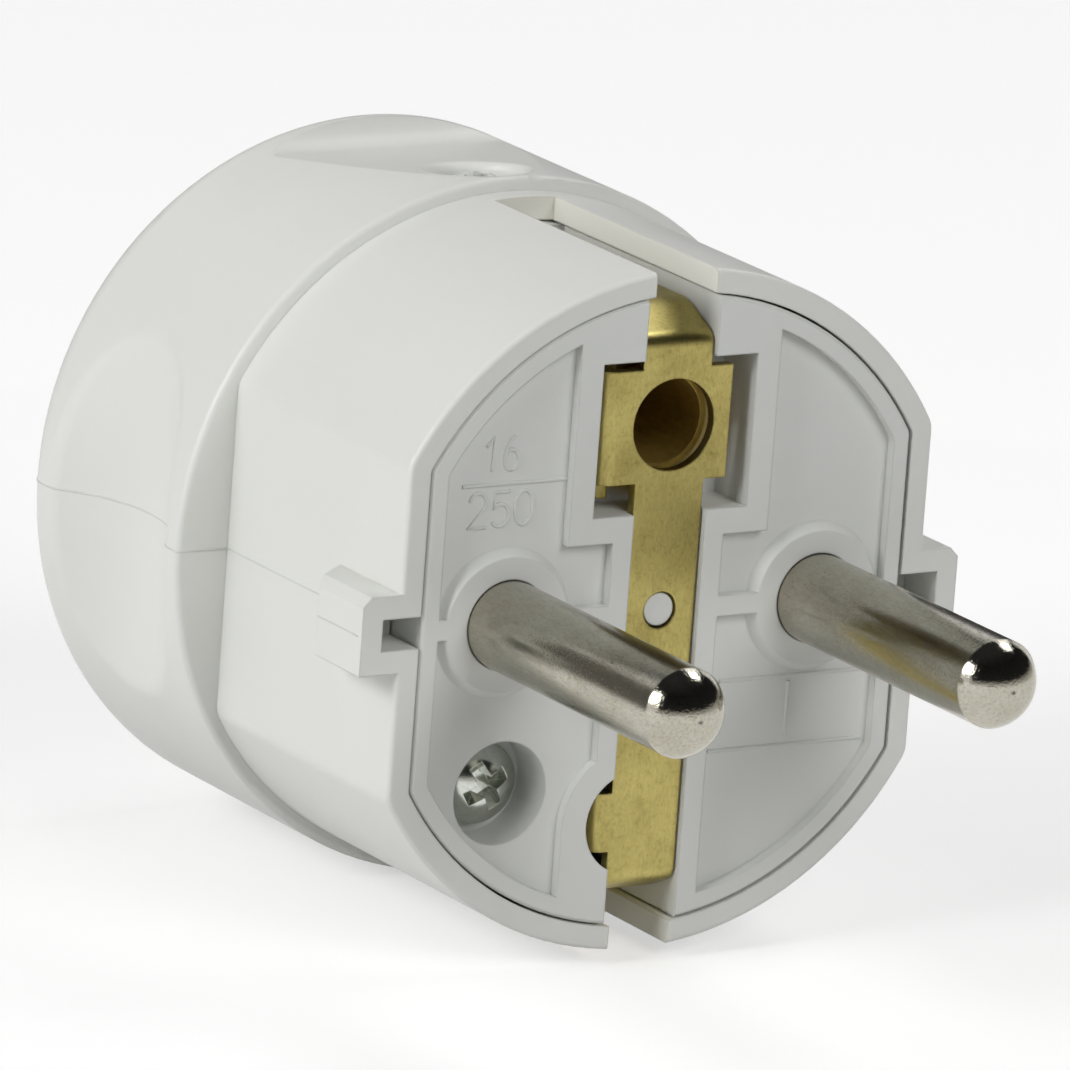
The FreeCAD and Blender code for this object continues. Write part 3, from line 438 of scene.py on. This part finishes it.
def worked_metal_group():
    """Worked metal: grain along one way, clouds of tarnish, and dark pits."""
    group, start, end = new_group(
        "worked metal",
        [("Bright Color", "NodeSocketColor", (0.6, 0.6, 0.6, 1)),
         ("Tarnish Color", "NodeSocketColor", (0.3, 0.3, 0.3, 1)),
         ("Tarnish Amount", "NodeSocketFloat", 0.3),
         ("Pit Amount", "NodeSocketFloat", 0.3),
         ("Roughness", "NodeSocketFloat", 0.3),
         ("Grain Scale", "NodeSocketVector", (5000.0, 5000.0, 5000.0)),
         ("Cloud Scale", "NodeSocketFloat", 300.0),
         ("Pit Scale", "NodeSocketFloat", 5000.0)],
        [("Color", "NodeSocketColor"), ("Roughness", "NodeSocketFloat"),
         ("Height", "NodeSocketFloat")])
    place = add(group, "ShaderNodeTexCoord")
    drawn = add(group, "ShaderNodeVectorMath", operation="MULTIPLY")
    grain = add(group, "ShaderNodeTexNoise",
                inputs={"Scale": 1.0, "Detail": 3.0, "Roughness": 0.6})
    cloud = add(group, "ShaderNodeTexNoise", inputs={"Detail": 5.0, "Roughness": 0.65})
    tarnish = add(group, "ShaderNodeMapRange", inputs=TARNISH_CLOUDS)
    speck = add(group, "ShaderNodeTexNoise", inputs={"Detail": 2.0, "Roughness": 0.5})
    pit = add(group, "ShaderNodeMapRange", inputs=PITS)
    tarnished = product(group, tarnish.outputs["Result"], start.outputs["Tarnish Amount"])
    dull = add(group, "ShaderNodeMath", operation="MULTIPLY_ADD", use_clamp=True)
    tint = add(group, "ShaderNodeMix", data_type="RGBA")
    level = add(group, "ShaderNodeMapRange", inputs=GRAIN_SHADE)
    shade = add(group, "ShaderNodeVectorMath", operation="SCALE")
    satin = add(group, "ShaderNodeMath", operation="MULTIPLY_ADD", inputs={1: DULL_ROUGHNESS})
    height = add(group, "ShaderNodeMath", operation="SUBTRACT")
    join(group, ((place.outputs["Object"], drawn.inputs[0]),
                 (start.outputs["Grain Scale"], drawn.inputs[1]),
                 (drawn.outputs["Vector"], grain.inputs["Vector"]),
                 (place.outputs["Object"], cloud.inputs["Vector"]),
                 (start.outputs["Cloud Scale"], cloud.inputs["Scale"]),
                 (cloud.outputs["Fac"], tarnish.inputs["Value"]),
                 (place.outputs["Object"], speck.inputs["Vector"]),
                 (start.outputs["Pit Scale"], speck.inputs["Scale"]),
                 (speck.outputs["Fac"], pit.inputs["Value"]),
                 (pit.outputs["Result"], dull.inputs[0]),
                 (start.outputs["Pit Amount"], dull.inputs[1]),
                 (tarnished, dull.inputs[2]),
                 (dull.outputs[0], tint.inputs["Factor"]),
                 (start.outputs["Bright Color"], tint.inputs["A"]),
                 (start.outputs["Tarnish Color"], tint.inputs["B"]),
                 (grain.outputs["Fac"], level.inputs["Value"]),
                 (tint.outputs["Result"], shade.inputs[0]),
                 (level.outputs["Result"], shade.inputs["Scale"]),
                 (dull.outputs[0], satin.inputs[0]),
                 (start.outputs["Roughness"], satin.inputs[2]),
                 (grain.outputs["Fac"], height.inputs[0]),
                 (pit.outputs["Result"], height.inputs[1]),
                 (shade.outputs["Vector"], end.inputs["Color"]),
                 (satin.outputs[0], end.inputs["Roughness"]),
                 (height.outputs[0], end.inputs["Height"])))
    return group


worked_metal = worked_metal_group()


def metal(name, bright, tarnish, edge, bump_depth, metallic=1.0, **values):
    """A metal with its grain, tarnish and pits, and edges softened by the given radius."""
    material, tree, shader = new_material(name)
    shader.inputs["Metallic"].default_value = metallic
    skin = add(tree, "ShaderNodeGroup", node_tree=worked_metal, inputs={
        "Bright Color": (*bright, 1), "Tarnish Color": (*tarnish, 1)})
    for key, value in values.items():
        skin.inputs[key.replace("_", " ").title()].default_value = value
    lay_on(tree, shader, skin, edge, METAL_BUMP, bump_depth)
    return material


def polish_tips(material):
    """Lowers a material's roughness past the end of the shank."""
    tree = material.node_tree
    roughness = shader_of(material).inputs["Roughness"]
    place = add(tree, "ShaderNodeTexCoord")
    along = add(tree, "ShaderNodeSeparateXYZ")
    polish = add(tree, "ShaderNodeMapRange", inputs={
        "From Min": SHANK_END, "From Max": POLISHED_FROM, "To Min": 1.0, "To Max": TIP_POLISH})
    join(tree, ((place.outputs["Object"], along.inputs[0]),
                (along.outputs["Y"], polish.inputs["Value"])))
    finer = product(tree, polish.outputs["Result"], roughness.links[0].from_socket)
    tree.links.new(finer, roughness)


nickel = metal("pin nickel", bright=(0.52, 0.5, 0.43), tarnish=(0.3, 0.255, 0.16),
               edge=0.2 * MM, bump_depth=0.007 * MM, tarnish_amount=0.35, pit_amount=0.3,
               roughness=0.18, grain_scale=(7000.0, 1500.0, 7000.0), cloud_scale=220.0,
               pit_scale=7000.0)
polish_tips(nickel)
for pin in ("line_pin_left", "line_pin_right"):
    dress(pin, nickel)

# Earth strap and sleeve. One strip of rolled brass sheet is punched, bent at both ends into spring
# clips and rolled at one side; a split brass tube stands behind its hole. Air has dulled both. The
# sleeve gets a lighter, part-diffuse copy of the brass, a painted golden glow inside the earth
# socket. The square washer under the earth screw is cut from the same sheet.
brass = metal("rolled brass", bright=(0.53, 0.45, 0.16), tarnish=(0.285, 0.22, 0.06),
              edge=0.15 * MM, bump_depth=0.007 * MM, tarnish_amount=0.45, pit_amount=0.25,
              roughness=0.36, grain_scale=(8000.0, 8000.0, 2600.0), cloud_scale=260.0,
              pit_scale=4500.0)
for piece in ("earth_strap", "earth_clamp_washer"):
    dress(piece, brass)
# Lighter, part-diffuse copy of the brass: a painted golden glow inside the earth socket.
lightened_brass = metal("lightened brass", bright=(0.7, 0.5, 0.13), tarnish=(0.45, 0.3, 0.06),
                   edge=0.05 * MM, bump_depth=0.006 * MM, metallic=0.75, tarnish_amount=0.5,
                   pit_amount=0.1, roughness=0.42, grain_scale=(3000.0, 900.0, 3000.0),
                   cloud_scale=400.0, pit_scale=4500.0)
dress("earth_sleeve", lightened_brass)

# Screws. Pressed steel, zinc plated: a cross-recess screw holds the carrier in the shell, another
# presses the cord clamp down, and slotted screws are in the terminals. The cord clamp screw gets a
# lighter, part-diffuse copy of the zinc, a painted brightness for the glints on its sunk head.
screw_zinc = {"edge": 0.08 * MM, "bump_depth": 0.003 * MM, "tarnish_amount": 0.3,
              "pit_amount": 0.25, "grain_scale": (4000.0, 4000.0, 4000.0),
              "cloud_scale": 500.0, "pit_scale": 8000.0}
zinc = metal("bright zinc", bright=(0.68, 0.7, 0.65), tarnish=(0.36, 0.38, 0.32),
             roughness=0.16, **screw_zinc)
for screw in ("carrier_screw", "terminal_screw_left", "terminal_screw_right",
              "earth_terminal_screw"):
    dress(screw, zinc)
# Lighter, part-diffuse copy of the zinc: painted brightness on the sunk clamp screw.
lightened_zinc = metal("lightened zinc", bright=(0.86, 0.87, 0.84), tarnish=(0.6, 0.61, 0.57),
                  metallic=0.4, roughness=0.3, **screw_zinc)
dress("cord_clamp_screw", lightened_zinc)

# Studio floor and air. A pale paper floor that the plug lies on and that keeps its shadow, and pale
# air beyond it; both look the same to the camera and in the metal, a little under white.
FLOOR_HALF = 2.0
FLOOR_PAPER = (0.65, 0.65, 0.65, 1)
FLOOR_ROUGHNESS = 0.9
FLOOR_GLOW = 0.5
AIR_LIGHT = 0.01
AIR_SEEN = 0.92
ONE_FACE = [(0, 1, 2, 3)]
CORNERS = ((-1, -1), (1, -1), (1, 1), (-1, 1))
floor_z = cad_low.z


def stage_sheet(name, points, faces, material):
    """A flat or curved sheet of the studio, which isn't part of the plug."""
    mesh = bpy.data.meshes.new(name)
    mesh.from_pydata(points, [], faces)
    mesh.materials.append(material)
    sheet = bpy.data.objects.new(name, mesh)
    bpy.context.scene.collection.objects.link(sheet)
    return sheet


def level_square(half, height):
    """The corners of a level square about the plug."""
    return [(x * half, y * half, height) for x, y in CORNERS]


def seen_directly(tree):
    """1 for rays from the camera, a reflection or a see-through surface, 0 for the part's light."""
    path = add(tree, "ShaderNodeLightPath")
    first = add(tree, "ShaderNodeMath", operation="MAXIMUM")
    second = add(tree, "ShaderNodeMath", operation="MAXIMUM")
    join(tree, ((path.outputs["Is Camera Ray"], first.inputs[0]),
                (path.outputs["Is Glossy Ray"], first.inputs[1]),
                (first.outputs[0], second.inputs[0]),
                (path.outputs["Is Transmission Ray"], second.inputs[1])))
    return second.outputs[0]


paper, tree, shader = new_material("floor paper")
shader.inputs["Base Color"].default_value = FLOOR_PAPER
shader.inputs["Roughness"].default_value = FLOOR_ROUGHNESS
glow = add(tree, "ShaderNodeEmission")
scale = add(tree, "ShaderNodeMath", operation="MULTIPLY", inputs={1: FLOOR_GLOW})
both = add(tree, "ShaderNodeAddShader")
surface = shader.outputs[0].links[0].to_socket
join(tree, ((seen_directly(tree), scale.inputs[0]),
            (scale.outputs[0], glow.inputs["Strength"]),
            (shader.outputs[0], both.inputs[0]),
            (glow.outputs[0], both.inputs[1]),
            (both.outputs[0], surface)))
stage_sheet("studio_floor", level_square(FLOOR_HALF, floor_z), ONE_FACE, paper)

world = bpy.data.worlds.new("studio air")
bpy.context.scene.world = world
world.use_nodes = True
sky = world.node_tree
sky.nodes.clear()
ambient = add(sky, "ShaderNodeBackground", inputs={"Color": (1, 1, 1, 1), "Strength": AIR_LIGHT})
pale = add(sky, "ShaderNodeBackground", inputs={"Color": (1, 1, 1, 1), "Strength": AIR_SEEN})
choose = add(sky, "ShaderNodeMixShader")
sky_out = add(sky, "ShaderNodeOutputWorld")
join(sky, ((seen_directly(sky), choose.inputs[0]),
           (ambient.outputs[0], choose.inputs[1]),
           (pale.outputs[0], choose.inputs[2]),
           (choose.outputs[0], sky_out.inputs["Surface"])))

# Studio cards. Painted reflections: dark and grey cards round the plug and overhead, and a white
# one at the right, are seen in reflections only and throw no shade. The grey cards glow faintly and
# the white one glows brightly though it is no lamp, a painted highlight on the metal.
ARC_CARD_STEPS = 24
CARD_MIDDLE = Vector((0.33, 0.24, 0.5))
CARD_HALF = 0.14
CEILING_HEIGHT = 0.9
CEILING_HALF = 1.3


def reflection_card_stuff(name, color, glow_color=(1, 1, 1), glow=0.0, roughness=1.0):
    """The cloth or paper of a card, with an even glow of its own."""
    material, tree, shader = new_material(name)
    shader.inputs["Base Color"].default_value = (*color, 1)
    shader.inputs["Roughness"].default_value = roughness
    shader.inputs["Emission Color"].default_value = (*glow_color, 1)
    shader.inputs["Emission Strength"].default_value = glow
    return material


def card(name, points, faces, material):
    """A card that only reflections see."""
    sheet = stage_sheet(name, points, faces, material)
    sheet.visible_camera = False
    sheet.visible_diffuse = False
    sheet.visible_transmission = False
    sheet.visible_shadow = False


def arc_card(name, radius, first, last, top, material):
    """A card standing on the floor in an arc about the plug, between turns from +Y in degrees."""
    points = []
    for i in range(ARC_CARD_STEPS + 1):
        turn = math.radians(first + (last - first) * i / ARC_CARD_STEPS)
        x, y = radius * math.sin(turn), radius * math.cos(turn)
        points += [(x, y, floor_z), (x, y, top)]
    faces = [(2 * i, 2 * i + 1, 2 * i + 3, 2 * i + 2) for i in range(ARC_CARD_STEPS)]
    card(name, points, faces, material)


# Painted reflections: dark cloth paints dark surroundings in the metal, the glowing cards paint
# light.
dark_reflection_cloth = reflection_card_stuff("dark cloth", (0.035, 0.035, 0.037))
glowing_grey_cloth = reflection_card_stuff("grey cloth", (0.08, 0.078, 0.072), glow_color=(1.0, 0.97, 0.9), glow=0.08)
glowing_grey_paper = reflection_card_stuff("grey paper", (0.5, 0.49, 0.46), glow_color=(1.0, 0.98, 0.93), glow=0.26)
glowing_white_card = reflection_card_stuff("glowing white card", (0.5, 0.5, 0.5), glow=1.3, roughness=0.5)
arc_card("studio_flag_rear", radius=0.12, first=-10, last=60, top=0.045, material=dark_reflection_cloth)
arc_card("studio_flag_left", radius=0.2, first=-80, last=-8, top=0.1, material=glowing_grey_cloth)
arc_card("studio_flag_front", radius=1.1, first=70, last=250, top=0.9, material=dark_reflection_cloth)
arc_card("studio_card_front", radius=1.05, first=70, last=250, top=0.12, material=glowing_grey_paper)
across = CARD_MIDDLE.cross(Vector((0, 0, 1))).normalized() * CARD_HALF
up = across.cross(CARD_MIDDLE).normalized() * CARD_HALF
card("studio_card_right", [CARD_MIDDLE + i * across + k * up for i, k in CORNERS], ONE_FACE,
     glowing_white_card)
card("studio_flag_overhead", level_square(CEILING_HALF, CEILING_HEIGHT), ONE_FACE, dark_reflection_cloth)

# Studio lamps. Soft boxes on the left, at the right above, high in front and low behind on the
# right; only the first two are seen in the metal.
LAMP_AIM = Vector((0, 0.01, 0))


def soft_box(name, place, size, watts, in_metal=False):
    """A square soft box at a place, turned to the plug."""
    lamp = bpy.data.lights.new(name, "AREA")
    lamp.shape = "SQUARE"
    lamp.size = size
    lamp.energy = watts
    holder = bpy.data.objects.new(name, lamp)
    holder.location = place
    holder.rotation_euler = (LAMP_AIM - Vector(place)).to_track_quat("-Z", "Y").to_euler()
    holder.visible_glossy = in_metal
    bpy.context.scene.collection.objects.link(holder)


soft_box("key_left", place=(-0.72, -0.08, 0.40), size=0.3, watts=2.5, in_metal=True)
soft_box("top_right", place=(0.40, 0.03, 0.58), size=0.2, watts=0.8, in_metal=True)
soft_box("side_left", place=(-0.8, 0.05, 0.2), size=0.6, watts=2.1)
soft_box("rear_left", place=(-0.5, 0.4, 0.45), size=0.6, watts=1.2)
soft_box("front_high", place=(0.1, -0.7, 0.5), size=0.5, watts=3.3)
soft_box("rear_right", place=(0.7, 0.5, 0.12), size=0.6, watts=2.4)

# Camera. Long lens, a little above the plug and to the left of its face, rolled a few degrees; its
# place was fitted to the standard pattern of the pins and the earth socket.
AIM = Vector((-5.40, 4.45, 3.38)) * MM
CAMERA_DISTANCE = 670.23 * MM
CAMERA_AZIMUTH = math.radians(-32.31)
CAMERA_ELEVATION = math.radians(14.59)
CAMERA_ROLL = math.radians(4.19)
back = Vector((math.sin(CAMERA_AZIMUTH) * math.cos(CAMERA_ELEVATION),
               -math.cos(CAMERA_AZIMUTH) * math.cos(CAMERA_ELEVATION),
               math.sin(CAMERA_ELEVATION)))
lens = bpy.data.cameras.new("camera")
lens.sensor_width = 36.0
lens.lens = 432.0
lens.clip_start = 0.01
lens.clip_end = 20.0
camera = bpy.data.objects.new("camera", lens)
turn = (-back).to_track_quat("-Z", "Y").to_matrix() @ Matrix.Rotation(CAMERA_ROLL, 3, "Z")
camera.matrix_world = Matrix.Translation(AIM + back * CAMERA_DISTANCE) @ turn.to_4x4()
bpy.context.scene.collection.objects.link(camera)
bpy.context.scene.camera = camera
bpy.context.scene.view_settings.view_transform = "Standard"
